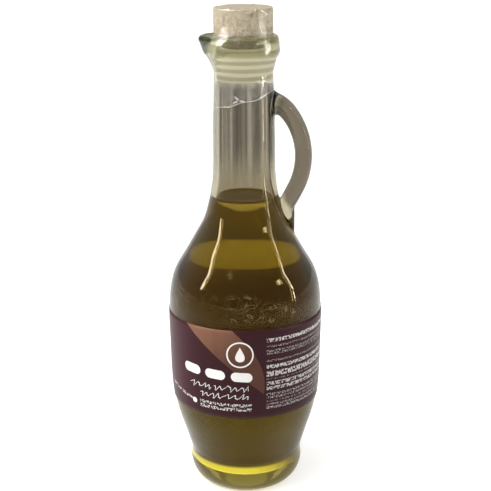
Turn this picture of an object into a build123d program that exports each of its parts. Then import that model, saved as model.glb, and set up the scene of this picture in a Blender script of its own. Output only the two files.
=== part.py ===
from build123d import *
import math
import os

# A handled glass bottle of olive oil: one clear glass jug with a pouring lip and a loop handle, closed by a
# cork-headed stopper, sealed with clear shrink film, wrapped in a label and filled with oil to the neck.
# Millimetres. +Z is up, the origin is the centre of the ring the bottle stands on, -X is the pouring lip
# and +X the handle.

os.makedirs("parts", exist_ok=True)

# ---- driving dimensions -------------------------------------------------------------------------------

# glass, from the floor up
punt_height = 3.0  # how far the underside is pushed up
rest_width = 3.0  # of the ring it stands on
foot_radius = 30.9
foot_corner = 10.4  # how far the rounded corner of the foot reaches in
foot_widest_height = 14.0
waist_inset = 0.6  # narrower than the foot
waist_height = 19.0
taper_height = 39.0  # waist to the foot of the belly
belly_height = 48.0
body_radius = 41.0
belly_inset = 0.8  # how much narrower the foot of the belly is
shoulder_height = 70.0  # belly to the neck
neck_radius = 16.4
neck_height = 46.0  # the straight stretch
throat_inset = 1.0  # at the narrowest place, under the rim
throat_rise = 6.0
flare_out = 0.8
flare_rise = 6.6
rim_out = 2.4
rim_height = 12.0
wall = 3.1
throat_wall = 2.2
base_thickness = 7.0
mouth_flare = 2.2  # how much wider the mouth is than the bore

# pouring lip
lip_out = 4.2  # from the rim to the tip of the nose
lip_nose_radius = 8.5
lip_nose_drop = 2.5  # the nose is widest this far under the rim's top
lip_shrink = 1.6  # how much smaller the lip is again at its top
lip_wall = 2.4
lip_foot_inset = 0.6  # how far inside the throat's skin the lip starts
channel_foot_inset = 1.0  # how far inside the bore's wall the lip's channel starts

# handle: a tight arc off the neck, a wide arc down the side, a straight run into the shoulder, and a tail
# that runs on down the shoulder from there
handle_root_rise = 35.5  # from the foot of the neck to the root's middle
handle_root_depth = 2.4  # how deep the middle of the root starts under the neck's skin
handle_root_slope = 6.0  # degrees below level
handle_top_radius = 13.3
handle_top_turn = 46.0
handle_side_radius = 38.0
handle_side_turn = 66.0
handle_thickness = 9.2
handle_width = 10.0
handle_bite = 1.5  # how deep the middle of the run ends under the shoulder's skin
tail_thickness = 8.8
tail_drop = 36.0  # from the foot of the neck down to the foot of the tail

# stopper
head_swell = 0.7  # how much wider the cork head is than where it passes the mouth
head_exposed = 14.0
head_sunk = 6.0
head_chamfer = 0.8
plug_length = 17.0
plug_wall = 1.6
rib_height = 0.5
rib_width = 1.4
rib_count = 3

# contents, label and film
oil_drop = 14.7  # from the foot of the neck down to the oil's level
label_drop = 7.0  # from the foot of the belly down to the label's lower edge
label_margin = 5.0  # from the label's upper edge up to the top of the belly
label_thickness = 0.2
film_thickness = 0.2
film_drop = 12.5  # from the top of the neck down to the film's edge, on the side of the lip
film_handle_gap = 0.6  # the film ends this far above the handle's root

# clearances
oil_gap = 0.1
plug_gap = 0.15
seat_gap = 0.8  # cork off the mouth
skin_gap = 0.15  # label and film off the glass
cut_overlap = 0.5  # how far a cut runs past the face it opens

# ---- radii and heights that follow --------------------------------------------------------------------

rest_outer_radius = foot_radius - foot_corner
rest_inner_radius = rest_outer_radius - rest_width
waist_radius = foot_radius - waist_inset
belly_low_radius = body_radius - belly_inset
throat_radius = neck_radius - throat_inset
flare_radius = neck_radius + flare_out
rim_radius = neck_radius + rim_out
bore_radius = throat_radius - throat_wall
mouth_radius = bore_radius + mouth_flare
lip_reach = rim_radius + lip_out
head_seat_radius = mouth_radius - seat_gap
head_radius = head_seat_radius + head_swell

belly_low = waist_height + taper_height
belly_high = belly_low + belly_height
neck_low = belly_high + shoulder_height
neck_high = neck_low + neck_height
throat_height = neck_high + throat_rise
flare_height = throat_height + flare_rise
rim_top = flare_height + rim_height
head_top = rim_top + head_exposed
oil_level = neck_low - oil_drop
label_low = belly_low - label_drop
label_high = belly_high - label_margin
film_low = neck_high - film_drop
plug_top = rim_top - head_sunk
plug_bottom = plug_top - plug_length


def between(a, b, share):
    """The value a share of the way from a to b."""
    return a + (b - a) * share


# The shoulder is an S: share of the way up it, share of the way in from the belly to the neck.
shoulder_stations = [(0.21, 0.118), (0.35, 0.346), (0.49, 0.569), (0.62, 0.78), (0.735, 0.878), (0.86, 0.955)]
shoulder_points = [
    (between(body_radius, neck_radius, inward), between(belly_high, neck_low, up))
    for up, inward in shoulder_stations
]


# ---- glass --------------------------------------------------------------------------------------------


def taper_edge():
    """Waist to belly: the body swells out of the foot."""
    swell = [(0.3, 0.36), (0.63, 0.78)]
    return Spline(
        (waist_radius, waist_height),
        *[
            (between(waist_radius, belly_low_radius, out), between(waist_height, belly_low, up))
            for up, out in swell
        ],
        (belly_low_radius, belly_low),
        tangents=[(0.12, 1), (0.08, 1)],
    )


def belly_edge():
    """The belly, where the label sits."""
    return Spline(
        (belly_low_radius, belly_low),
        (body_radius, belly_high),
        tangents=[(0.08, 1), (0, 1)],
    )


def shoulder_edge():
    """The S of the shoulder."""
    return Spline(
        (body_radius, belly_high),
        *shoulder_points,
        (neck_radius, neck_low),
        tangents=[(0, 1), (0, 1)],
    )


def neck_edge():
    """The straight neck, its throat and the flare under the rim."""
    return Spline(
        (neck_radius, neck_low),
        (between(neck_radius, throat_radius, 0.2), between(neck_low, neck_high, 0.5)),
        (throat_radius, throat_height),
        (flare_radius, flare_height),
        tangents=[(0, 1), (0.45, 1)],
    )


def rim_edge():
    """The rolled rim, widest near its foot."""
    return Spline(
        (flare_radius, flare_height),
        (rim_radius, between(flare_height, rim_top, 0.27)),
        (between(rim_radius, mouth_radius, 0.2), between(flare_height, rim_top, 0.72)),
        (between(rim_radius, mouth_radius, 0.7), rim_top),
        tangents=[(1, 0.7), (-1, 0)],
    )


def radius_at(edge, height):
    """The radius at which a rising edge passes a height."""
    low, high = 0.0, 1.0
    for _ in range(40):
        middle = (low + high) / 2
        if (edge @ middle).Y < height:
            low = middle
        else:
            high = middle
    return (edge @ low).X


def outer_solid():
    """The jug without its cavity: foot, body, neck and rim, turned about Z."""
    with BuildPart() as jug:
        with BuildSketch(Plane.XZ):
            with BuildLine():
                Spline(
                    (0, punt_height),
                    (rest_inner_radius, 0),
                    tangents=[(1, 0), (1, -0.5)],
                )
                Line((rest_inner_radius, 0), (rest_outer_radius, 0))
                EllipticalCenterArc(
                    (rest_outer_radius, foot_widest_height),
                    foot_corner,
                    foot_widest_height,
                    start_angle=-90,
                    arc_size=90,
                )
                Spline(
                    (foot_radius, foot_widest_height),
                    (waist_radius, waist_height),
                    tangents=[(0, 1), (0.12, 1)],
                )
                add(taper_edge())
                add(belly_edge())
                add(shoulder_edge())
                add(neck_edge())
                add(rim_edge())
                Line((between(rim_radius, mouth_radius, 0.7), rim_top), (0, rim_top))
                Line((0, rim_top), (0, punt_height))
            make_face()
        revolve(axis=Axis.Z)
    return jug.part


def set_off(edge, distance, shares):
    """Points along an edge, moved outward by distance; a negative distance moves them into the wall."""
    points = []
    for share in shares:
        here = edge @ share
        along = edge % share
        points.append((here.X + along.Y * distance, here.Y - along.X * distance))
    return points


def cavity_solid(gap=0.0, top=None):
    """The space inside the wall, less a gap all round, up to top. With no top it runs out of the mouth."""
    inset = wall + gap
    floor = punt_height + base_thickness + gap
    body = set_off(taper_edge(), -inset, [0.12, 0.4, 0.7])
    body += set_off(belly_edge(), -inset, [0.0, 0.5, 1.0])
    body += set_off(shoulder_edge(), -inset, [n / 10 for n in range(1, 10)])
    inner_neck = neck_radius - inset
    bore = bore_radius - gap
    low_corner = (between(0, body[0][0], 0.8), floor)
    above = rim_top + cut_overlap
    with BuildPart() as hollow:
        with BuildSketch(Plane.XZ):
            with BuildLine():
                Line((0, floor), low_corner)
                Spline(
                    low_corner,
                    *body,
                    (inner_neck, neck_low),
                    tangents=[(1, 0), (0, 1)],
                )
                Spline(
                    (inner_neck, neck_low),
                    (bore, neck_high),
                    tangents=[(0, 1), (0, 1)],
                )
                Line((bore, neck_high), (bore, plug_top))
                Line((bore, plug_top), (mouth_radius - gap, above))
                Line((mouth_radius - gap, above), (0, above))
                Line((0, above), (0, floor))
            make_face()
            if top is not None:
                with Locations((0, top)):
                    Rectangle(2 * above, above, align=(Align.CENTER, Align.MIN), mode=Mode.SUBTRACT)
        revolve(axis=Axis.Z)
    return hollow.part


def lip_solid(grow, low, foot):
    """The pouring lip, grown all round by grow: out from a round foot to the nose, then rounded in."""
    nose_height = rim_top - lip_nose_drop
    sections = [
        (low, 0, foot + grow),
        (nose_height, lip_nose_radius - lip_reach, lip_nose_radius + grow),
        (rim_top + grow, lip_nose_radius - lip_reach, lip_nose_radius + grow - lip_shrink),
    ]
    with BuildPart() as lip:
        for height, middle, radius in sections:
            with BuildSketch(Plane.XY.offset(height)):
                with Locations((middle, 0)):
                    Circle(radius)
        loft(ruled=True)
    return lip.part


def handle_path():
    """The middle line of the handle, from inside the neck's wall to inside the shoulder's."""
    start = (neck_radius - handle_root_depth, neck_low + handle_root_rise)
    slope = math.radians(-handle_root_slope)
    top = JernArc(start, (math.cos(slope), math.sin(slope)), handle_top_radius, -handle_top_turn)
    side = JernArc(top @ 1, top % 1, handle_side_radius, -handle_side_turn)
    shoulder = shoulder_edge()
    end = side @ 1 + side % 1
    while end.X > radius_at(shoulder, end.Y) - handle_bite:
        end += (side % 1) / 2
    return [top, side, Line(side @ 1, end)]


def handle_solid():
    """A solid glass loop of oval section, with a tail that runs down the shoulder."""
    arcs = handle_path()
    path = Plane.XZ * Wire(arcs)
    loop = sweep(
        Plane(path @ 0, z_dir=path % 0, x_dir=(0, 1, 0)) * Ellipse(handle_width / 2, handle_thickness / 2),
        path=path,
    )
    run = arcs[-1]
    foot = neck_low - tail_drop
    tail_radius = tail_thickness / 2
    middle = radius_at(shoulder_edge(), foot) - tail_radius
    share = (middle - (run @ 0).X) / ((run @ 1).X - (run @ 0).X)
    top = (run @ share).Y
    tail = Pos(middle, 0, foot) * Cylinder(
        tail_radius,
        top - foot,
        align=(Align.CENTER, Align.CENTER, Align.MIN),
    )
    return loop + tail + Pos(middle, 0, top) * Sphere(tail_radius)


def bottle_glass():
    """The whole glass jug as one piece."""
    outside = outer_solid() + lip_solid(0, throat_height, throat_radius - lip_foot_inset) + handle_solid()
    channel = lip_solid(-lip_wall, plug_top, bore_radius - channel_foot_inset + lip_wall)
    channel += Pos(lip_nose_radius - lip_reach, 0, rim_top - lip_wall - cut_overlap) * Cylinder(
        lip_nose_radius - lip_wall - lip_shrink,
        lip_wall + 2 * cut_overlap,
        align=(Align.CENTER, Align.CENTER, Align.MIN),
    )
    return outside - cavity_solid() - channel


# ---- contents, stopper, label and film ----------------------------------------------------------------


def oil():
    """The oil, up to its level in the foot of the neck."""
    return cavity_solid(gap=oil_gap, top=oil_level)


def stopper_head():
    """The cork head: a tapered disc above the rim, narrowing into the mouth."""
    low_radius = bore_radius - plug_gap
    with BuildPart() as head:
        with BuildSketch(Plane.XZ):
            with BuildLine():
                Polyline(
                    (0, plug_top),
                    (low_radius, plug_top),
                    (head_seat_radius, rim_top),
                    (head_radius, head_top - head_chamfer),
                    (head_radius - head_chamfer, head_top),
                    (0, head_top),
                    close=True,
                )
            make_face()
        revolve(axis=Axis.Z)
    return head.part


def stopper_plug():
    """The hollow plastic plug under the cork, with sealing ribs round it."""
    rib_radius = bore_radius - plug_gap
    body = rib_radius - rib_height
    plug = Pos(0, 0, plug_bottom) * Cylinder(
        body, plug_length, align=(Align.CENTER, Align.CENTER, Align.MIN)
    )
    spacing = plug_length / (rib_count + 1)
    for number in range(1, rib_count + 1):
        plug += Pos(0, 0, plug_bottom + number * spacing) * Cylinder(rib_radius, rib_width)
    hollow = Cylinder(
        body - plug_wall,
        plug_length - plug_wall,
        align=(Align.CENTER, Align.CENTER, Align.MIN),
    )
    return plug - Pos(0, 0, plug_bottom) * hollow


def label():
    """The paper label, wrapped right round the belly."""
    stations = 5
    heights = [between(label_low, label_high, n / stations) for n in range(stations + 1)]
    edges = [taper_edge() if height < belly_low else belly_edge() for height in heights]
    inner = [(radius_at(edge, height) + skin_gap, height) for edge, height in zip(edges, heights)]
    outer = [(radius + label_thickness, height) for radius, height in inner]
    with BuildPart() as wrap:
        with BuildSketch(Plane.XZ):
            with BuildLine():
                Spline(*inner)
                Line(inner[-1], outer[-1])
                Spline(*outer)
                Line(outer[0], inner[0])
            make_face()
        revolve(axis=Axis.Z)
    return wrap.part


def film_body(grow):
    """Everything inside the shrink film's face that stands grow off the head, the rim and the neck."""
    neck_points, rim_points = 8, 12
    start = (film_low - neck_low) / (flare_height - neck_low)
    up_neck = set_off(neck_edge(), grow, [between(start, 1, n / neck_points) for n in range(neck_points)])
    up_rim = set_off(rim_edge(), grow, [(n + 0.5) / rim_points for n in range(rim_points)])
    with BuildPart() as inside:
        with BuildSketch(Plane.XZ):
            with BuildLine():
                Line((0, film_low), (up_neck[0][0], film_low))
                Line((up_neck[0][0], film_low), up_neck[0])
                Spline(*up_neck, up_rim[0])
                Spline(*up_rim)
                Polyline(
                    up_rim[-1],
                    (head_radius + grow, rim_top + head_exposed * 0.3),
                    (head_radius + grow, head_top - head_chamfer),
                    (head_radius - head_chamfer + grow, head_top + grow),
                    (0, head_top + grow),
                    (0, film_low),
                )
            make_face()
        revolve(axis=Axis.Z)
    return inside.part + lip_solid(grow, throat_height, throat_radius - lip_foot_inset)


def shrink_film():
    """Clear film shrunk over the stopper, the rim, the lip and the neck, cut slantwise over the handle."""
    film = film_body(skin_gap + film_thickness) - film_body(skin_gap)
    handle_top = (handle_path()[0] @ 0).Y + handle_thickness / 2
    rise = handle_top + film_handle_gap - film_low
    slant = math.degrees(math.atan2(rise, 2 * neck_radius))
    below = Rot(0, -slant, 0) * Box(
        6 * neck_radius,
        6 * neck_radius,
        3 * neck_radius,
        align=(Align.CENTER, Align.CENTER, Align.MAX),
    )
    return film - Pos(0, 0, film_low + rise / 2) * below


pieces = {
    "bottle_glass": bottle_glass(),
    "oil": oil(),
    "stopper_head": stopper_head(),
    "stopper_plug": stopper_plug(),
    "label": label(),
    "shrink_film": shrink_film(),
}
for name, shape in pieces.items():
    shape.label = name
    export_step(shape, f"parts/{name}.step")
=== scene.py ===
import math

import bmesh
import bpy
import numpy as np
from mathutils import Matrix, Vector, noise


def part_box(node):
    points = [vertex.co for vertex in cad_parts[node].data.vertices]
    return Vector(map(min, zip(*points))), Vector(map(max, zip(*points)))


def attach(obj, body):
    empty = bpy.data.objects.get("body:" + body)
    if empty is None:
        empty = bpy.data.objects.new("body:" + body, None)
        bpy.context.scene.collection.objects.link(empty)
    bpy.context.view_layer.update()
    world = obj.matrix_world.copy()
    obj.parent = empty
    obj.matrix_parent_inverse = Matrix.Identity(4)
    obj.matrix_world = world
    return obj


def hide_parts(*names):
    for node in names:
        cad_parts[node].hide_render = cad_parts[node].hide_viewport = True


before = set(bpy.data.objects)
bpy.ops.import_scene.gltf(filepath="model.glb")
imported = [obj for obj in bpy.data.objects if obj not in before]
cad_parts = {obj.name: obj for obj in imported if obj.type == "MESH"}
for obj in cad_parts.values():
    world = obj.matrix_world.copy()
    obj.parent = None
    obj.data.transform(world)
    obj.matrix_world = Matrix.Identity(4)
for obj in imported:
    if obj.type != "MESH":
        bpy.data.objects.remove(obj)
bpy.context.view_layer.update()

# ---- The view ------------------------------------------------------------------------------------
# A phone held at arm's length over a table: the camera looks down on the bottle from the front, with the
# pouring lip at its left and the handle at its right. The hand was not quite level.
camera_place = (0.0004, -0.628, 0.3267)
camera_pitch = math.radians(72.95)  # from straight down
camera_roll = math.radians(-0.38)
camera_lens = 89.74
camera = bpy.data.objects.new("camera", bpy.data.cameras.new("camera"))
camera.data.lens = camera_lens
camera.data.sensor_width = 36.0
camera.data.clip_start = 0.01
camera.matrix_world = (
    Matrix.Translation(camera_place)
    @ Matrix.Rotation(camera_pitch, 4, "X")
    @ Matrix.Rotation(camera_roll, 4, "Z")
)
bpy.context.scene.collection.objects.link(camera)
bpy.context.scene.camera = camera
bpy.context.scene.view_settings.view_transform = "Standard"


# ---- The table and the studio --------------------------------------------------------------------
# A plain white sheet that runs out of sight, under a soft sky that is brighter on the left. One wide lamp
# hangs overhead, two tall strips run their reflections down the glass, and a small one adds a window's glint.
class Shade:
    """A socket of a node tree. Arithmetic on it adds the Math nodes that work it out."""

    tree = None

    def __init__(self, socket):
        self.socket = socket

    @staticmethod
    def start(tree):
        """Makes the tree empty and the one that nodes are added to."""
        Shade.tree = tree
        tree.nodes.clear()

    @staticmethod
    def node(kind, settings=None, inputs=None, output=0):
        """One node: its settings first, then the values or links of its sockets. Returns one output."""
        made = Shade.tree.nodes.new("ShaderNode" + kind)
        for key, value in (settings or {}).items():
            if key == "stops":
                while len(made.color_ramp.elements) < len(value):
                    made.color_ramp.elements.new(0.5)
                for element, (stop, colour) in zip(made.color_ramp.elements, value):
                    element.position = stop
                    element.color = (*colour, 1.0)
            else:
                setattr(made, key, value)
        for key, value in (inputs or {}).items():
            if isinstance(value, Shade):
                Shade.tree.links.new(value.socket, made.inputs[key])
            elif isinstance(value, tuple) and made.inputs[key].type == "RGBA":
                made.inputs[key].default_value = (*value, 1.0)
            else:
                made.inputs[key].default_value = value
        return Shade(made.outputs[output])

    def maths(self, operation, other=0.0):
        return Shade.node("Math", {"operation": operation}, {0: self, 1: other})

    def reverse(self, operation, other):
        return Shade.node("Math", {"operation": operation}, {0: other, 1: self})

    def __add__(self, other):
        return self.maths("ADD", other)

    def __radd__(self, other):
        return self.reverse("ADD", other)

    def __sub__(self, other):
        return self.maths("SUBTRACT", other)

    def __rsub__(self, other):
        return self.reverse("SUBTRACT", other)

    def __mul__(self, other):
        return self.maths("MULTIPLY", other)

    def __rmul__(self, other):
        return self.reverse("MULTIPLY", other)

    def __truediv__(self, other):
        return self.maths("DIVIDE", other)

    def __gt__(self, other):
        return self.maths("GREATER_THAN", other)

    def __lt__(self, other):
        return self.maths("LESS_THAN", other)

    def rise(self, low, high):
        """0 below low, 1 above high, smooth between."""
        settings = {"interpolation_type": "SMOOTHSTEP", "clamp": True}
        return Shade.node("MapRange", settings, {"Value": self, "From Min": low, "From Max": high})

    def mixed(self, first, second):
        """A colour: first where this is 0, second where it is 1."""
        return Shade.node("Mix", {"data_type": "RGBA"}, {0: self, 6: first, 7: second}, 2)


def surface(name, build):
    """A material whose nodes the function build makes; build returns its shader and, if any, its volume."""
    made = bpy.data.materials.new(name)
    made.use_nodes = True
    Shade.start(made.node_tree)
    shader, *volume = build()
    end = Shade.tree.nodes.new("ShaderNodeOutputMaterial")
    Shade.tree.links.new(shader.socket, end.inputs["Surface"])
    if volume:
        Shade.tree.links.new(volume[0].socket, end.inputs["Volume"])
    return made


def place():
    """The point being shaded, whole and as x, y and z in metres."""
    point = Shade.node("TexCoord", output=3)
    parts = [Shade.node("SeparateXYZ", None, {0: point}, axis) for axis in range(3)]
    return point, parts


gloss_share = 0.55  # how much of the white ground shows in a gloss


def seen():
    """1 on rays that look at a thing straight or through glass, less in gloss, 0 on rays that carry light."""
    straight, gloss, through = [Shade.node("LightPath", output=number) for number in (0, 3, 6)]
    return straight.maths("MAXIMUM", through).maths("MAXIMUM", gloss * gloss_share)


table_reach = 12.0
table_colour = (0.82, 0.82, 0.82)
table_glow = 0.50
table_glow_far = 0.95
table_near, table_far = 0.35, 1.6


def table_nodes():
    _, (x, y, _) = place()
    share = (x * x + y * y).maths("SQRT").rise(table_near, table_far)
    strength = share * (table_glow_far - table_glow) + table_glow
    paint = Shade.node("BsdfDiffuse", None, {"Color": table_colour})
    glow = Shade.node("Emission", None, {"Color": (1.0, 1.0, 1.0), "Strength": seen() * strength})
    return [Shade.node("AddShader", None, {0: paint, 1: glow})]


table = bpy.data.objects.new("table", bpy.data.meshes.new("table"))
corners = [(-table_reach, -table_reach, 0), (table_reach, -table_reach, 0), (table_reach, table_reach, 0),
           (-table_reach, table_reach, 0)]
table.data.from_pydata(corners, [], [(0, 1, 2, 3)])
table.data.materials.append(surface("table", table_nodes))
bpy.context.scene.collection.objects.link(table)

world = bpy.data.worlds.new("studio")
bpy.context.scene.world = world
world.use_nodes = True
Shade.start(world.node_tree)
sky_left, sky_right = (1.30, 1.27, 1.22), (0.15, 0.15, 0.15)
sky_direction = Shade.node("TexCoord", output=0)
sky_side, sky_height = [Shade.node("SeparateXYZ", None, {0: sky_direction}, axis) for axis in (0, 2)]
sky_colour = Shade.node(
    "ValToRGB",
    {"stops": [(0.0, (0.25, 0.235, 0.22)), (0.3, (0.45, 0.43, 0.41)), (0.8, (0.8, 0.8, 0.8))]},
    {0: sky_height},
)
sky_share = sky_side.rise(-0.8, 0.8).mixed(sky_left, sky_right)
times = {"data_type": "RGBA", "blend_type": "MULTIPLY"}
sky_colour = Shade.node("Mix", times, {0: 1.0, 6: sky_colour, 7: sky_share}, 2)
sky = Shade.node("Background", None, {0: seen().mixed(sky_colour, (1.0, 1.0, 1.0)), 1: 1.0})
world_end = Shade.tree.nodes.new("ShaderNodeOutputWorld")
Shade.tree.links.new(sky.socket, world_end.inputs["Surface"])


def lamp(name, where, aim, size, power):
    """A flat rectangular lamp that points from where to aim."""
    light = bpy.data.lights.new(name, "AREA")
    light.shape = "RECTANGLE"
    light.size, light.size_y = size
    light.energy = power
    made = bpy.data.objects.new(name, light)
    made.location = where
    made.rotation_euler = (Vector(aim) - Vector(where)).to_track_quat("-Z", "Y").to_euler()
    bpy.context.scene.collection.objects.link(made)


lamp("overhead", (-0.55, -0.4, 1.5), (0, 0, 0.1), (1.1, 1.1), 12.5)
lamp("strip_right", (0.62, -0.14, 0.50), (0, 0, 0.50), (0.022, 0.86), 3.0)
lamp("strip_left", (-0.62, -0.20, 0.62), (0, 0, 0.62), (0.045, 0.7), 6.0)
lamp("window", (0.61, -0.33, 0.50), (0, 0, 0.11), (0.10, 0.10), 0.9)


# ---- The glass jug -------------------------------------------------------------------------------
# One piece of blown soda-lime glass: a body on a thick flanged foot, a long neck, a rolled rim drawn out to
# a pouring lip, and a solid glass loop pressed onto the neck and the shoulder while it was soft. Its colour
# is painted from place to place with the shade and light that clear glass shows of a darker room behind
# it, and it has a painted glow in the foot.
MM = 0.001
glass_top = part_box("bottle_glass")[1].z / MM
wall = 3.1
foot_corner = 10.4
foot_radius = 30.9
foot_height = 14.0
outside_points = [  # radius, height: waist, belly, shoulder, neck, throat
    (30.3, 19.0), (33.9, 30.7), (38.0, 43.6), (40.2, 58.0), (40.8, 82.0), (41.15, 106.0), (38.3, 120.7),
    (32.5, 130.5), (27.0, 140.3), (21.8, 149.4), (19.4, 157.5), (17.5, 166.2), (16.4, 176.0), (16.2, 199.0),
    (15.6, 216.0), (15.4, 228.0),
]
rim_points = [(17.3, glass_top - 12.0), (18.8, glass_top - 8.6), (18.5, glass_top - 3.6),
              (17.9, glass_top - 1.0), (16.6, glass_top)]
floor_height = 10.0
floor_edge = 21.5
bore = 13.2
mouth = 15.4


def flowing(points, steps):
    """A smooth line through the points, as an even Catmull-Rom curve with so many steps a stretch."""
    points = [np.array(point, float) for point in points]
    ends = [2 * points[0] - points[1], *points, 2 * points[-1] - points[-2]]
    line = []
    for a, b, c, d in zip(ends, ends[1:], ends[2:], ends[3:]):
        square = 2 * a - 5 * b + 4 * c - d
        cube = 3 * b - a - 3 * c + d
        for t in np.arange(steps) / steps:
            line.append(0.5 * (2 * b + (c - a) * t + square * t**2 + cube * t**3))
    line.append(points[-1])
    return line


def arc(centre, radii, start, end, steps):
    """Points on a stretch of an upright ellipse, angles in degrees."""
    return [
        np.array([centre[0] + radii[0] * math.cos(angle), centre[1] + radii[1] * math.sin(angle)])
        for angle in np.radians(np.linspace(start, end, steps))
    ]


def eased(line, passes):
    """The line with its small unevenness of curve worn away."""
    line = np.array(line)
    for _ in range(passes):
        line[1:-1] = (line[:-2] + 2 * line[1:-1] + line[2:]) / 4
    return list(line)


def moved_in(line, distance):
    """The line moved sideways into the glass by a distance."""
    line = np.array(line)
    along = np.gradient(line, axis=0)
    along /= np.linalg.norm(along, axis=1)[:, None]
    return line + np.stack([-along[:, 1], along[:, 0]], 1) * distance


foot_line = arc((foot_radius - foot_corner, foot_height), (foot_corner, foot_height), -90, 0, 16)
body_line = eased(flowing(outside_points, 8), 10)
rim_line = flowing([outside_points[-1], *rim_points], 6)[1:]
punt_line = [(0.0, 3.0), (6.0, 2.8), (11.0, 2.0), (15.0, 0.9), (17.5, 0.0)]
outer_line = flowing(punt_line, 4) + foot_line + body_line + rim_line


def inside_line(reach_in):
    """The inner face from the middle of the floor up to the bore, moved out into the wall by reach_in."""
    face = moved_in([p for p in body_line if 25 < p[1] < 172], wall - reach_in)
    corner = flowing([(15.0, floor_height - reach_in), (floor_edge, floor_height + 1.0 - reach_in * 0.8),
                      (25.6 + reach_in * 0.8, floor_height + 6.0), tuple(face[0])], 6)[:-1]
    neck = flowing([tuple(face[-1]), (bore + 0.1 + reach_in, 180.0), (bore + reach_in, 200.0),
                    (bore + reach_in, 222.0)], 6)[1:]
    return [np.array([0.0, floor_height - reach_in])] + corner + list(face) + neck


mouth_points = [(bore, 236.0), (bore + 0.4, 241.0), (mouth, glass_top - 1.0), (mouth + 0.5, glass_top)]
mouth_line = flowing(mouth_points, 5)
glass_line = outer_line + list(reversed(inside_line(0.0) + mouth_line))


def turned(name, line, segments=128, push=None):
    """The line, in millimetres, turned round the upright axis: from axis to axis, or a loop that closes."""
    mesh = bmesh.new()
    rings = []
    for radius, height in line:
        if radius < 1e-6:
            rings.append([mesh.verts.new((0, 0, height * MM))])
            continue
        ring = []
        for number in range(segments):
            angle = 2 * math.pi * number / segments
            r, z = push(radius, height, angle) if push else (radius, height)
            ring.append(mesh.verts.new((r * math.cos(angle) * MM, r * math.sin(angle) * MM, z * MM)))
        rings.append(ring)
    pairs = list(zip(rings, rings[1:]))
    if len(rings[0]) > 1:
        pairs.append((rings[-1], rings[0]))
    for low, high in pairs:
        for number in range(segments):
            after = (number + 1) % segments
            around = [low[number % len(low)], low[after % len(low)], high[after % len(high)],
                      high[number % len(high)]]
            mesh.faces.new(list(dict.fromkeys(around)))
    bmesh.ops.recalc_face_normals(mesh, faces=mesh.faces)
    return finished(name, mesh)


def finished(name, mesh):
    """The bmesh as an object of the scene, shaded smooth."""
    for face in mesh.faces:
        face.smooth = True
    made = bpy.data.objects.new(name, bpy.data.meshes.new(name))
    mesh.to_mesh(made.data)
    mesh.free()
    bpy.context.scene.collection.objects.link(made)
    return made


lip_out = 4.9
lip_half_turn = 0.5  # radians
lip_low = 224.0
lip_high = glass_top - 2.2


def drawn_lip(radius, height, angle):
    """The rim and the neck under it, drawn out to the pouring lip on the -X side."""
    off = math.remainder(angle - math.pi, 2 * math.pi)
    share = min(max((height - lip_low) / (lip_high - lip_low), 0.0), 1.0)
    return radius + lip_out * share**2.6 * math.exp(-((off / lip_half_turn) ** 2)), height


jug = turned("glass_jug", glass_line, 144, drawn_lip)

handle_root = (14.0, 211.5)
handle_slope = -6.0  # degrees
handle_turns = [(13.3, 46.0), (38.0, 66.0)]  # radius, degrees turned
handle_run = 11.0
handle_half_width = 5.0
handle_half_depth = 4.6
handle_flare = 0.42


def handle_route(step):
    """The middle line of the handle as (x, z, direction), a step apart."""
    x, z = handle_root
    heading = math.radians(handle_slope)
    route = [(x, z, heading)]
    for radius, turn in handle_turns:
        count = round(math.radians(turn) * radius / step)
        for _ in range(count):
            heading -= math.radians(turn) / count / 2
            x += math.cos(heading) * math.radians(turn) * radius / count
            z += math.sin(heading) * math.radians(turn) * radius / count
            heading -= math.radians(turn) / count / 2
            route.append((x, z, heading))
    for _ in range(round(handle_run / step)):
        x += math.cos(heading) * step
        z += math.sin(heading) * step
        route.append((x, z, heading))
    return route


def tube(name, route, sizes, sides=48):
    """A closed tube in the plane y = 0 along (x, z, direction), with its own half width and depth each."""
    mesh = bmesh.new()
    rings = []
    for (x, z, heading), (half_width, half_depth) in zip(route, sizes):
        ring = []
        for number in range(sides):
            angle = 2 * math.pi * number / sides
            across = half_depth * math.cos(angle)
            ring.append(mesh.verts.new((
                (x - math.sin(heading) * across) * MM,
                half_width * math.sin(angle) * MM,
                (z + math.cos(heading) * across) * MM,
            )))
        rings.append(ring)
    for low, high in zip(rings, rings[1:]):
        for number in range(sides):
            after = (number + 1) % sides
            mesh.faces.new((low[number], low[after], high[after], high[number]))
    mesh.faces.new(rings[0])
    mesh.faces.new(list(reversed(rings[-1])))
    bmesh.ops.recalc_face_normals(mesh, faces=mesh.faces)
    return finished(name, mesh)


route = handle_route(1.0)
sizes = []
for number in range(len(route)):
    grown = 1 + handle_flare * math.exp(-number / 5.0)
    sizes.append((handle_half_width * grown, handle_half_depth * grown))
handle = tube("handle", route, sizes)

# the handle's tail, pressed down onto the shoulder
tail_top, tail_foot, tail_far = 158.0, 137.0, 22.3
tail_half_width, tail_half_depth = 4.5, 4.4
tail_steps = 24
tail_route, tail_sizes = [], []
for number in range(tail_steps + 1):
    share = number / tail_steps
    tail_route.append((tail_far, tail_top - (tail_top - tail_foot) * share, -math.pi / 2))
    narrowed = math.sin(math.pi * (0.5 + 0.35 * share)) ** 0.5
    tail_sizes.append((tail_half_width * narrowed, tail_half_depth))
tail = tube("tail", tail_route, tail_sizes)
for added in (handle, tail):
    join = jug.modifiers.new("join", "BOOLEAN")
    join.operation = "UNION"
    join.solver = "EXACT"
    join.object = added
    bpy.context.view_layer.update()
    joined = bpy.data.meshes.new_from_object(jug.evaluated_get(bpy.context.evaluated_depsgraph_get()))
    jug.modifiers.clear()
    jug.data = joined
    bpy.data.objects.remove(added)

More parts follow.
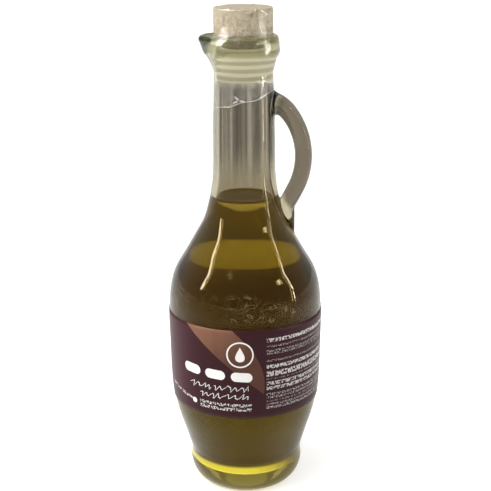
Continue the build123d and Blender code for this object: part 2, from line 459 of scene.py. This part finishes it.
# the seams where the handle and its tail meet the glass, melted soft
seam_low, seam_high, seam_far = 130.0, 222.0, 12.0
seam_bend = 0.3  # radians
seam_spread = 3
seam_passes = 12
mesh = bmesh.new()
mesh.from_mesh(jug.data)
bmesh.ops.remove_doubles(mesh, verts=mesh.verts, dist=0.02 * MM)
bmesh.ops.triangulate(mesh, faces=[face for face in mesh.faces if len(face.verts) > 4])
near = set()
for edge in mesh.edges:
    middle = (edge.verts[0].co + edge.verts[1].co) / (2 * MM)
    beside_handle = middle.x > seam_far and seam_low < middle.z < seam_high
    if beside_handle and edge.calc_face_angle(0.0) > seam_bend:
        near.update(edge.verts)
for _ in range(seam_spread):
    near |= {edge.other_vert(vert) for vert in near for edge in vert.link_edges}
every_way = {"use_axis_x": True, "use_axis_y": True, "use_axis_z": True}
for _ in range(seam_passes):
    bmesh.ops.smooth_vert(mesh, verts=list(near), factor=0.5, **every_way)
for face in mesh.faces:
    face.smooth = True
mesh.to_mesh(jug.data)
mesh.free()

# the glass is clear: these colours are painted shade and light, darker where a darker room would show through
# it, and the pale streak down the neck is a painted highlight
glass_clear = (0.95, 0.95, 0.90)
glass_body = (0.47, 0.43, 0.36)
glass_low = (0.33, 0.30, 0.04)
glass_neck = [(0.10, 0.09, 0.08), (0.43, 0.40, 0.37)]
glass_painted_highlight = (0.70, 0.66, 0.60)
glass_throat = (0.80, 0.78, 0.68)
glass_outer = (0.66, 0.64, 0.56)
glass_bore = (0.66, 0.63, 0.60)
glass_handle = (0.165, 0.14, 0.125)
glass_rim = (0.36, 0.355, 0.24)
glass_lip = (0.07, 0.08, 0.045)
glass_foot = (0.24, 0.205, 0.105)
glass_mass = (0.84, 0.845, 0.64)  # about what a centimetre of it lets through
# a painted glow, for light that the glass gathers: a little in the foot, much in its corner, hardly any on
# the sprig
painted_glow_foot = (0.052, 0.041, 0.010)
painted_glow_corner = (1.0, 0.91, 0.10)
painted_glow_sprig = (0.050, 0.038, 0.018)
per_centimetre = 100.0
# the heights and radii, in metres, between which one tint turns into the next
foot_ends, low_ends = (0.020, 0.030), (0.045, 0.110)
neck_starts, throat_starts, rim_starts = (0.165, 0.190), (0.2205, 0.2245), (0.2368, 0.2395)
bore_far, mouth_far = 0.0147, 0.0163
lip_from, handle_from = (0.0188, 0.0200), (0.0190, 0.0215)
handle_low, shoulder_high, shoulder_slope = 0.135, 0.166, 0.36
painted_highlight_way = (0.66, -0.75)  # the way the painted highlight down the neck faces
corner_low, corner_high = (0.0098, 0.0112), (0.0150, 0.0175)
corner_from, corner_to = (0.0200, 0.0230), 0.0272
sprig_low, sprig_high, sprig_far = (0.1035, 0.1055), (0.1165, 0.1220), 0.0355


def glass_nodes():
    point, (x, y, z) = place()
    far = (x * x + y * y).maths("SQRT")
    flat = Shade.node("CombineXYZ", None, {0: x, 1: y})
    turn = Shade.node("VectorMath", {"operation": "NORMALIZE"}, {0: flat})
    bands = Shade.node("TexNoise", None, {"Vector": turn, "Scale": 4.5, "Detail": 1.0})
    # painted shade and light: upright bands round the neck, darker on the +X side, and a painted highlight
    # down it
    neck = (bands - x / far * 0.06).rise(0.38, 0.66).mixed(*glass_neck)
    neck = ((x * painted_highlight_way[0] + y * painted_highlight_way[1]) / far).rise(0.982, 0.994).mixed(neck, glass_painted_highlight)
    neck = (far > bore_far).mixed(glass_bore, neck)
    # painted shade: the body darker and yellower low down, and darker in the foot, the handle, the rim and
    # most of all the lip
    body = z.rise(*low_ends).mixed(glass_low, glass_body)
    body = z.rise(*neck_starts).mixed(body, neck)
    body = z.rise(*foot_ends).mixed(glass_foot, body)
    outside = far - (shoulder_high - z).maths("MAXIMUM", 0.0) * shoulder_slope
    body = (outside.rise(*handle_from) * (z > handle_low)).mixed(body, glass_handle)
    body = z.rise(*throat_starts).mixed(body, (far > bore_far).mixed(glass_throat, glass_outer))
    rim = far.rise(*lip_from).mixed(glass_rim, glass_lip)
    body = z.rise(*rim_starts).mixed(body, (far > mouth_far).mixed(glass_clear, rim))
    glow = z.rise(0.014, 0.022).mixed(painted_glow_foot, (0.0, 0.0, 0.0))
    # a moulded sprig, too shallow to read, round the shoulder above the label, traced by a faint painted glow
    leaf = Shade.node("TexNoise", None, {"Vector": point, "Scale": 120.0, "Detail": 0.5, "Distortion": 1.8})
    sprig = leaf.rise(0.480, 0.500) * (1 - leaf.rise(0.515, 0.535))
    sprig = sprig * z.rise(*sprig_low) * (1 - z.rise(*sprig_high)) * (far > sprig_far)
    patch = Shade.node("TexNoise", None, {"Vector": point, "Scale": 32.0})
    glow = (sprig * patch.rise(0.50, 0.60)).mixed(glow, painted_glow_sprig)
    # a painted glow in the corner between floor and wall, for light gathered there, most of it at the front
    # left
    corner = z.rise(*corner_low) * (1 - z.rise(*corner_high)) * far.rise(*corner_from)
    corner = corner * (far < corner_to) * (bands * 0.5 - (x * 0.9 + y) / far).rise(-0.35, 1.35)
    # the faint upright unevenness of blown glass
    streaks = Shade.node("VectorMath", {"operation": "MULTIPLY"}, {0: point, 1: (260.0, 260.0, 12.0)})
    waves = Shade.node("TexNoise", None, {"Vector": streaks, "Scale": 1.0, "Detail": 2.0})
    bump = Shade.node("Bump", None, {"Height": waves, "Strength": 0.04, "Distance": 0.001})
    shader = Shade.node("BsdfPrincipled", None, {
        "Base Color": body,
        "Roughness": 0.0,
        "IOR": 1.51,
        "Specular Tint": (0.21, 0.18, 0.11),
        "Transmission Weight": 1.0,
        "Normal": bump,
        "Emission Color": corner.mixed(glow, painted_glow_corner),
        "Emission Strength": 1.6,
    })
    return [shader, Shade.node("VolumeAbsorption", None, {"Color": glass_mass, "Density": per_centimetre})]


jug.data.materials.clear()
jug.data.materials.append(surface("glass_painted_shade", glass_nodes))
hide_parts("bottle_glass")
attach(jug, "root")


# ---- The oil -------------------------------------------------------------------------------------
# Olive oil up to the foot of the neck. It wets the wall, so it reaches just into the glass and climbs a
# little at the edge of its surface. A faint warm glow painted into it above the label stands for light
# scattered in it.
oil_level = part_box("oil")[1].z / MM
oil_reach = 0.35
meniscus = 1.3
meniscus_width = 5.0
oil_wall = [p for p in inside_line(oil_reach) if p[1] < oil_level + meniscus]
rim_of_oil = oil_wall[-1][0]
oil_surface = [(rim_of_oil - share * meniscus_width, oil_level + meniscus * math.exp(-share * 4.0))
               for share in (0.0, 0.15, 0.3, 0.5, 0.75, 1.0)]
oil_line = oil_wall + [np.array(p) for p in oil_surface[1:]] + [np.array([0.0, oil_level])]
oil = turned("oil_fill", oil_line, 144)

oil_mass = (0.88, 0.83, 0.38)  # about what a centimetre of it lets through
oil_painted_glow = (0.90, 0.58, 0.07)
oil_painted_glow_from = (0.118, 0.145)  # heights in metres


def oil_nodes():
    _, (_, _, z) = place()
    shader = Shade.node("BsdfPrincipled", None, {
        "Base Color": (1.0, 1.0, 1.0),
        "Roughness": 0.0,
        "IOR": 1.47,
        "Specular Tint": (0.60, 0.42, 0.10),
        "Transmission Weight": 1.0,
        "Emission Color": z.rise(*oil_painted_glow_from).mixed((0.0, 0.0, 0.0), oil_painted_glow),
        "Emission Strength": 0.065,
    })
    return [shader, Shade.node("VolumeAbsorption", None, {"Color": oil_mass, "Density": per_centimetre})]


oil.data.materials.append(surface("olive_oil", oil_nodes))
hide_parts("oil")
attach(oil, "root")


# ---- The label -----------------------------------------------------------------------------------
# A satin film label wrapped right round the belly, its end glued over its start at the back. It is printed
# in plum with a copper ribbon across the front. Its unprinted inner face shows mottled through the oil, with
# a glow that stands for the light gathered between it and the oil.
label_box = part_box("label")
label_low, label_high = label_box[0].z / MM, label_box[1].z / MM
label_radius = label_box[1].x / MM
label_lift = 0.05
label_depth = 0.2
label_lap = math.radians(5.0)
label_rows = 25


def outside_radius(height):
    """The outer radius of the glass at a height of the belly."""
    return float(np.interp(height, [p[1] for p in body_line], [p[0] for p in body_line]))


def glued(radius, height, angle):
    """Small unevenness of a glued label, and the lap at the back, where its end lies over its start."""
    back = math.remainder(angle - math.pi / 2, 2 * math.pi)
    lap = label_depth * min(max(1.0 - abs(back) / label_lap, 0.0) * 6.0, 1.0)
    waves = 0.05 * noise.noise(Vector((math.cos(angle) * 3, math.sin(angle) * 3, height * 0.08)))
    edge = min(height - label_low, label_high - height) < 0.1
    ripple = 0.25 * noise.noise(Vector((math.cos(angle) * 4, math.sin(angle) * 4, height))) if edge else 0.0
    return radius + lap + max(waves, 0.0), height + ripple


label_heights = np.linspace(label_low + 0.2, label_high - 0.2, label_rows)
label_line = [(outside_radius(h) + label_lift, h) for h in label_heights]
label_line += [(outside_radius(h) + label_lift + label_depth, h) for h in reversed(label_heights)]
label = turned("wrap_label", label_line, 180, glued)

plum = (0.032, 0.008, 0.011)
plum_lit_left = (0.048, 0.012, 0.019)
copper_high = (0.19, 0.09, 0.055)
copper_low = (0.085, 0.036, 0.024)
ink = (0.80, 0.79, 0.77)
script_ink, small_ink, panel_ink = 0.85, 0.75, 0.62
ribbon_start, ribbon_fall, ribbon_foot = -48.0, 0.585, 64.0  # degrees, mm a degree, mm
ribbon_bow = (-10.0, 56.0, 32.5)  # degrees: where its right edge starts, swings out and comes back
heading_bars = [(-37.0, -25.6), (-22.4, -11.0), (-7.8, 3.6)]  # mm round from the front
heading_middle, heading_tilt, heading_half = 74.8, 0.045, 2.6
emblem_along, emblem_up = -2.9, 87.5
emblem_ring = (6.4, 7.2)
drop_foot, drop_height, drop_width = 4.0, 8.4, 7.2
dot_along, dot_up, dot_radius = -30.3, 57.9, 1.5
panel_left, panel_right = 15.5, 105.0  # degrees round from the front
back_left, back_right, back_foot = -168.0, -112.0, 66.0
bold_height = 1.5
panel_rows = [  # height of the row's middle, height of its letters, strength of its ink
    (95.0, 2.0, 1.0), (91.6, 1.1, 0.5), (89.1, 1.1, 0.6), (87.6, 1.1, 0.6), (83.6, 1.0, 0.5),
    (80.2, 2.0, 1.0), (76.2, 2.9, 1.0), (73.3, 0.8, 0.4), (70.8, 1.9, 0.9), (68.0, 1.9, 0.9),
    (64.6, 1.3, 0.7), (62.7, 1.3, 0.7), (60.7, 1.0, 0.4), (58.7, 1.3, 0.6), (56.8, 1.3, 0.8),
]


def between(value, low, high):
    """1 where the value lies between two bounds, 0 elsewhere."""
    return (value > low) * (value < high)


def grains(along, up, size, share):
    """Small uneven marks, like print too fine to read: 1 on the mark, 0 between."""
    spot = Shade.node("CombineXYZ", None, {0: along / size, 1: up / (size * 1.5)})
    cloud = Shade.node("TexNoise", None, {"Vector": spot, "Scale": 1.0, "Detail": 1.0})
    return cloud.rise(1 - share - 0.04, 1 - share + 0.04)


def flourish(along, up, middle, height, wave, swing, start, end, gap):
    """A thin line that runs up and down like handwriting, with one gap in it."""
    off = up - middle
    run = along - off * 0.55
    tall = Shade.node("TexNoise", {"noise_dimensions": "1D"}, {"W": run * 0.36 + middle, "Scale": 1.0})
    swell = (tall.rise(0.42, 0.68) * 0.65 + 0.35) * height
    slow, quick = run * 0.31, run * 0.83 + middle
    turn = run * wave + slow.maths("SINE") * swing + quick.maths("SINE") * 0.8
    pace = slow.maths("COSINE") * (swing * 0.31) + quick.maths("COSINE") * 0.66 + wave
    slope = turn.maths("COSINE") * swell * pace
    away = (off - turn.maths("SINE") * swell).maths("ABSOLUTE") / (slope * slope + 1).maths("SQRT")
    return (away < 0.2) * between(along, start, end) * (1 - between(along, gap, gap + 1.6))


def label_nodes():
    point, (x, y, z) = place()
    round_turn = x.maths("ARCTAN2", 0 - y)  # 0 at the front, in radians
    degrees = round_turn * (180 / math.pi)
    along = round_turn * label_radius
    up = z / MM
    # painted light: the plum ground is lighter towards the left, the side the light falls on
    ground = ((degrees + 62) / 30).rise(0.0, 1.0).mixed(plum_lit_left, plum)
    # the ribbon: a straight lower edge and a bowed right one
    down = (label_high - up) / 36.0
    low_edge = up - (label_high - (degrees - ribbon_start) * ribbon_fall)
    right_edge = (ribbon_bow[0] + down * ribbon_bow[1] - down * down * ribbon_bow[2]) - degrees
    ribbon = low_edge.rise(-0.15, 0.15) * right_edge.rise(-0.3, 0.3) * (up > ribbon_foot)
    in_line = {"noise_dimensions": "1D"}
    sheen = Shade.node("TexNoise", in_line, {"W": degrees * 0.16, "Scale": 1.0, "Detail": 1.0})
    fade = down + (degrees + 30) / 90.0
    copper = (fade + sheen * 0.25).rise(0.1, 1.0).mixed(copper_high, copper_low)
    colour = ribbon.mixed(ground, copper)
    # the heading: three plain bars with round ends, all of one length
    aside = up + along * heading_tilt - heading_middle
    heading = 0
    for start, end in heading_bars:
        past = (along - (start + end) / 2).maths("ABSOLUTE") - ((end - start) / 2 - heading_half)
        past = past.maths("MAXIMUM", 0.0)
        heading = heading + ((past * past + aside * aside).maths("SQRT") < heading_half)
    # two strokes like handwriting, and lines too fine to read
    script = flourish(along, up, 68.2, 1.9, 1.75, 1.4, -33.0, 1.5, -19.0)
    script = script + flourish(along, up, 63.4, 2.0, 1.6, 1.2, -26.0, 1.5, -40.0)
    small = between(along, -26.5, 3.2) * (between(up, 57.8, 59.5) + between(up, 55.3, 57.1))
    slanted = up - (-30.0 - along) * 0.18
    side = between(along, -52.0, -31.5) * between(slanted, 57.4, 59.0)
    small = (small + side) * grains(along, up, 0.75, 0.48) * small_ink
    # the emblem: a drop in a ring
    across, above = along - emblem_along, up - emblem_up
    ring = between((across * across + above * above).maths("SQRT"), *emblem_ring)
    share = (above + drop_foot) / drop_height
    taper = (1 - share).maths("MAXIMUM", 0.0).maths("POWER", 1.3)
    drop = across.maths("ABSOLUTE") < share.maths("MAXIMUM", 0.0).maths("SQRT") * taper * drop_width
    across, above = along - dot_along, up - dot_up
    dot = (across * across + above * above).maths("SQRT") < dot_radius
    marks = heading + script * script_ink + small + ring + drop + dot
    # the panel of small print on the right, and a shorter one at the back
    thin, bold = grains(along, up, 0.6, 0.47), grains(along, up, 0.95, 0.52)
    panel = 0
    for middle, height, strength in panel_rows:
        row = between(up, middle - height / 2, middle + height / 2)
        panel = panel + row * (bold if height > bold_height else thin) * (strength * panel_ink)
    columns = between(degrees, panel_left, panel_right)
    columns = columns + between(degrees, back_left, back_right) * (up > back_foot)
    marks = (marks + panel * columns).maths("MINIMUM", 1.0)
    colour = marks.mixed(colour, ink)
    weave = Shade.node("TexNoise", None, {"Vector": point, "Scale": 900.0, "Detail": 2.0})
    bump = Shade.node("Bump", None, {"Height": weave, "Strength": 0.08, "Distance": 0.0003})
    return [Shade.node("BsdfPrincipled", None, {
        "Base Color": colour,
        "Roughness": 0.30 + weave * 0.12,
        "IOR": 1.45,
        "Specular IOR Level": 0.12,
        "Normal": bump,
    })]


inner_brown = (0.40, 0.25, 0.13)
inner_olive = (0.72, 0.54, 0.16)


def label_back_nodes():
    point, _ = place()
    mottle = Shade.node("TexNoise", None, {"Vector": point, "Scale": 28.0, "Detail": 2.0})
    colour = mottle.rise(0.38, 0.66).mixed(inner_brown, inner_olive)
    return [Shade.node("BsdfPrincipled", None, {
        "Base Color": colour,
        "Roughness": 0.6,
        "Emission Color": colour,
        "Emission Strength": 0.75,
    })]


label.data.materials.append(surface("printed_film", label_nodes))
label.data.materials.append(surface("label_inner_face", label_back_nodes))
for face in label.data.polygons:
    inward = face.normal.x * face.center.x + face.normal.y * face.center.y
    face.material_index = 1 if inward < -1e-6 else 0
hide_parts("label")
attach(label, "root")


# ---- The cork head -------------------------------------------------------------------------------
# A disc pressed from ground cork, pale and speckled, which sits on the rim. Its upper edge is worn and
# chipped, and it narrows into the mouth.
head_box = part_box("stopper_head")
head_low, head_top = head_box[0].z / MM, head_box[1].z / MM
head_radius = head_box[1].x / MM
head_edge = 0.9


def worn(radius, height, angle):
    """Pits between the grains of cork, and chips out of the upper edge."""
    spot = Vector((radius * math.cos(angle), radius * math.sin(angle), height))
    grain = noise.noise(spot * 0.9) * 0.16 + noise.noise(spot * 2.1) * 0.10
    from_edge = math.hypot(radius - head_radius, height - head_top)
    chip = max(noise.noise(spot * 0.45 + Vector((3, 1, 7))) - 0.02, 0.0) * 2.6 * math.exp(-from_edge / 1.5)
    if head_radius - radius > 2 and height > head_top - 1:  # the flat of the top
        return radius, height - abs(grain)
    return radius - abs(grain) - chip * 0.8, height - chip * (1.0 if height > head_top - 3 else 0.0)


head_corner = (head_radius - head_edge, head_top - head_edge)
head_line = [(0.0, head_low), (bore * 0.5, head_low), (bore - 0.3, head_low)]
head_line += [(head_radius - 0.9, glass_top + 0.25), (head_radius - 0.15, glass_top + 0.9)]
head_line += [(head_radius, h) for h in np.linspace(glass_top + 1.3, head_top - head_edge - 0.3, 26)]
head_line += [tuple(p) for p in arc(head_corner, (head_edge, head_edge), 0, 90, 6)]
head_line += [(r, head_top) for r in np.linspace(head_corner[0] - 0.5, 0.6, 24)] + [(0.0, head_top)]
cork = turned("cork_head", head_line, 160, worn)

cork_pale = (0.49, 0.42, 0.30)
cork_tan = (0.32, 0.26, 0.17)
cork_bark = (0.13, 0.08, 0.045)


def cork_nodes():
    point, _ = place()
    cells = Shade.node("TexVoronoi", None, {"Vector": point, "Scale": 850.0}, 1)
    tone = Shade.node("SeparateXYZ", None, {0: cells}, 0)
    cloud = Shade.node("TexNoise", None, {"Vector": point, "Scale": 160.0, "Detail": 4.0})
    specks = Shade.node("TexNoise", None, {"Vector": point, "Scale": 1300.0, "Detail": 2.0})
    colour = (tone * 0.6 + cloud * 0.5).rise(0.1, 0.95).mixed(cork_tan, cork_pale)
    bark = (tone > 0.93) * 0.6 + specks.rise(0.66, 0.74) * 0.7
    colour = bark.maths("MINIMUM", 1.0).mixed(colour, cork_bark)
    rim_of_cell = Shade.node("TexVoronoi", {"feature": "DISTANCE_TO_EDGE"}, {"Vector": point, "Scale": 850.0})
    height = rim_of_cell.rise(0.0, 0.12) + specks * 0.5
    bump = Shade.node("Bump", None, {"Height": height, "Strength": 0.5, "Distance": 0.0003})
    return [Shade.node("BsdfPrincipled", None, {"Base Color": colour, "Roughness": 0.85, "Normal": bump})]


cork.data.materials.append(surface("ground_cork", cork_nodes))
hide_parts("stopper_head")
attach(cork, "root")


# ---- The plug ------------------------------------------------------------------------------------
# A hollow plug of milky plastic under the cork, moulded with three sealing ribs that press on the bore.
plug_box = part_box("stopper_plug")
plug_low, plug_top = plug_box[0].z / MM, plug_box[1].z / MM
plug_radius = bore + 0.55  # its ribs press into the bore and oil wets the rest, so no air shows round it
plug_wall = 1.6
rib_height = 0.4
rib_half = 0.7
rib_count = 3
rib_spacing = (plug_top - plug_low) / (rib_count + 1)


def ribbed(height):
    """The plug's outer radius at a height, rounded over each rib."""
    off = min(abs(height - plug_low - rib_spacing * number) for number in range(1, rib_count + 1))
    return plug_radius - rib_height * min(max((off - rib_half) / 0.5 + 0.5, 0.0), 1.0)


plug_inner = plug_radius - rib_height - plug_wall
plug_line = [(plug_inner, plug_low), (plug_radius - rib_height - 0.4, plug_low)]
plug_line += [(ribbed(h), h) for h in np.linspace(plug_low + 0.4, plug_top - 0.05, 60)]
plug_line += [(0.0, plug_top - 0.05)]
plug_line = [(0.0, plug_top - plug_wall), (plug_inner, plug_top - plug_wall)] + plug_line
plug = turned("rib_plug", plug_line, 96)

plug_milk = (0.95, 0.92, 0.80)
plug_shade = (0.58, 0.51, 0.37)


def plug_nodes():
    point, (_, _, z) = place()
    cloud = Shade.node("TexNoise", None, {"Vector": point, "Scale": 120.0, "Detail": 2.0})
    bump = Shade.node("Bump", None, {"Height": cloud, "Strength": 0.1, "Distance": 0.0005})
    # painted highlight and shade: the plug lighter on its ribs and darker in the grooves between them
    on_rib = ((z / MM - plug_low) * (2 * math.pi / rib_spacing)).maths("COSINE")
    return [Shade.node("BsdfPrincipled", None, {
        "Base Color": (on_rib + cloud).rise(-0.1, 1.3).mixed(plug_shade, plug_milk),
        "Roughness": 0.38 + cloud * 0.1,
        "Normal": bump,
    })]


plug.data.materials.append(surface("milky_plastic", plug_nodes))
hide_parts("stopper_plug")
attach(plug, "root")


# ---- The shrink film -----------------------------------------------------------------------------
# Clear film shrunk over the cork, the rim and the lip. It spans straight from the cork to the rim, is full
# of small creases, and ends on the neck in a wavy cut edge, higher over the handle.
film_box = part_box("shrink_film")
film_low, film_top = film_box[0].z / MM, film_box[1].z / MM
film_depth = 0.06
film_lift = 0.12
film_high_edge = 218.6
film_rest = glass_top + 4.5  # where the film leaves the cork
film_rim = glass_top - 2.6  # where it leaves the rim
film_rows = 110
film_over = 34
film_round = 220
fold_radius = 0.7  # how sharply it turns over the cork
fold_share = 0.2
pucker_angle, pucker_height = math.radians(261.0), 215.5
pucker_ridge = 0.17


def film_edge(angle):
    """The height of the cut edge: low at the lip, high over the handle's root."""
    share = (1 + math.cos(angle)) / 2
    wave = 0.7 * math.sin(angle * 3 + 0.6) + 0.4 * math.sin(angle * 7)
    return film_low + 0.9 + (film_high_edge - film_low) * share**1.6 + wave * (1 - share**4)


def pucker(radius, height, angle):
    """The star of small folds where the film was drawn together, low on the front."""
    aside = math.remainder(angle - pucker_angle, 2 * math.pi) * radius
    above = height - pucker_height
    far = math.hypot(aside, above)
    ray = max(math.cos(2.5 * math.atan2(above, aside) + 0.4), 0.0) ** 3
    return 0.45 * ray * min(far / 0.8, 1.0) * math.exp(-((far / 3.2) ** 2))


def shrunk(layer, share, angle):
    """Radius and height of one face of the film, at a share of the way from its cut edge to its turn."""
    low = film_edge(angle)
    height = low + (film_top - 0.9 - low) * share
    rim_radius, _ = drawn_lip(rim_radius_at(film_rim), film_rim, angle)
    if height > film_rest:
        base = head_radius
    elif height > film_rim:
        span = (height - film_rim) / (film_rest - film_rim)
        base = rim_radius + (head_radius - rim_radius) * span
    else:
        base, _ = drawn_lip(rim_radius_at(height), height, angle)
    spot = Vector((math.cos(angle) * 5, math.sin(angle) * 5, height * 0.16))
    crease = abs(noise.noise(spot)) * 0.35 + abs(noise.noise(spot * 2.3 + Vector((4, 0, 2)))) * 0.25
    slack = 0.25 + 0.75 * math.exp(-(((height - glass_top - 3) / 6) ** 2))
    slack += 0.5 * math.exp(-(((height - low) / 2.5) ** 2))
    slack += 0.9 * math.exp(-(((height - film_top + 2.0) / 2.5) ** 2))
    bead = 0.22 * math.exp(-(((height - low) / 0.35) ** 2))
    return base + film_lift + crease * slack + bead + pucker(base, height, angle) + layer, height


def rim_radius_at(height):
    """The outer radius of neck and rim at a height, without the lip."""
    line = [p for p in body_line if p[1] > 170] + list(rim_line)
    return float(np.interp(height, [p[1] for p in line], [p[0] for p in line]))


def film_point(layer, step, angle):
    """Up the sides, then over the top of the cork to its middle."""
    if step <= film_rows:
        return shrunk(layer, step / film_rows, angle)
    edge_radius, edge_height = shrunk(layer, 1.0, angle)
    share = (step - film_rows) / film_over
    folded = min(share / fold_share, 1.0)
    turn = folded * math.pi / 2
    if share > fold_share:
        radius = (edge_radius - fold_radius) * (1 - (share - fold_share) / (1 - fold_share))
    else:
        radius = edge_radius - fold_radius * (1 - math.cos(turn))
    spot = Vector((math.cos(angle) * 2.5, math.sin(angle) * 2.5, radius * 0.3))
    crease = abs(noise.noise(spot)) * 0.5 * min(radius / 6, 1.0)
    return radius, edge_height + fold_radius * math.sin(turn) + layer - crease * folded


steps = list(range(film_rows + film_over + 1))
film_line = [(film_lift + film_depth, s) for s in steps] + [(film_lift, s) for s in reversed(steps)]
film = turned("shrink_wrap", film_line, film_round, film_point)

film_clear, film_shine = (0.99, 0.99, 0.98), (1.0, 1.0, 1.0)
film_gloss, hem_gloss = 0.035, 0.3


def film_nodes():
    point, _ = place()
    long_way = Shade.node("VectorMath", {"operation": "MULTIPLY"}, {0: point, 1: (1.0, 1.0, 0.45)})
    fine = {"Vector": long_way, "Scale": 420.0, "Detail": 5.0, "Distortion": 0.8}
    crumple = Shade.node("TexNoise", None, fine)
    bump = Shade.node("Bump", None, {"Height": crumple, "Strength": 0.35, "Distance": 0.0009})
    gloss = Shade.node("BsdfAnisotropic", None, {"Color": film_shine, "Roughness": 0.035, "Normal": bump})
    clear = Shade.node("BsdfTransparent", None, {"Color": film_clear})
    facing = Shade.node("LayerWeight", None, {"Blend": 0.5, "Normal": bump}, 1)
    share = facing.maths("POWER", 4.0) * 0.18 + film_gloss
    return [Shade.node("MixShader", None, {0: share, 1: clear, 2: gloss})]


def film_hem_nodes():
    gloss = Shade.node("BsdfAnisotropic", None, {"Color": film_shine, "Roughness": 0.2})
    clear = Shade.node("BsdfTransparent", None, {"Color": film_clear})
    return [Shade.node("MixShader", None, {0: hem_gloss, 1: clear, 2: gloss})]


film.data.materials.append(surface("shrink_film_clear", film_nodes))
film.data.materials.append(surface("shrink_film_hem", film_hem_nodes))
# the cut edge and the ridges of the star catch more light than the rest
for number, face in enumerate(film.data.polygons):
    x, y, z = face.center / MM
    ridge = pucker(math.hypot(x, y), z, math.atan2(y, x))
    face.material_index = 1 if number < film_round or ridge > pucker_ridge else 0
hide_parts("shrink_film")
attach(film, "root")
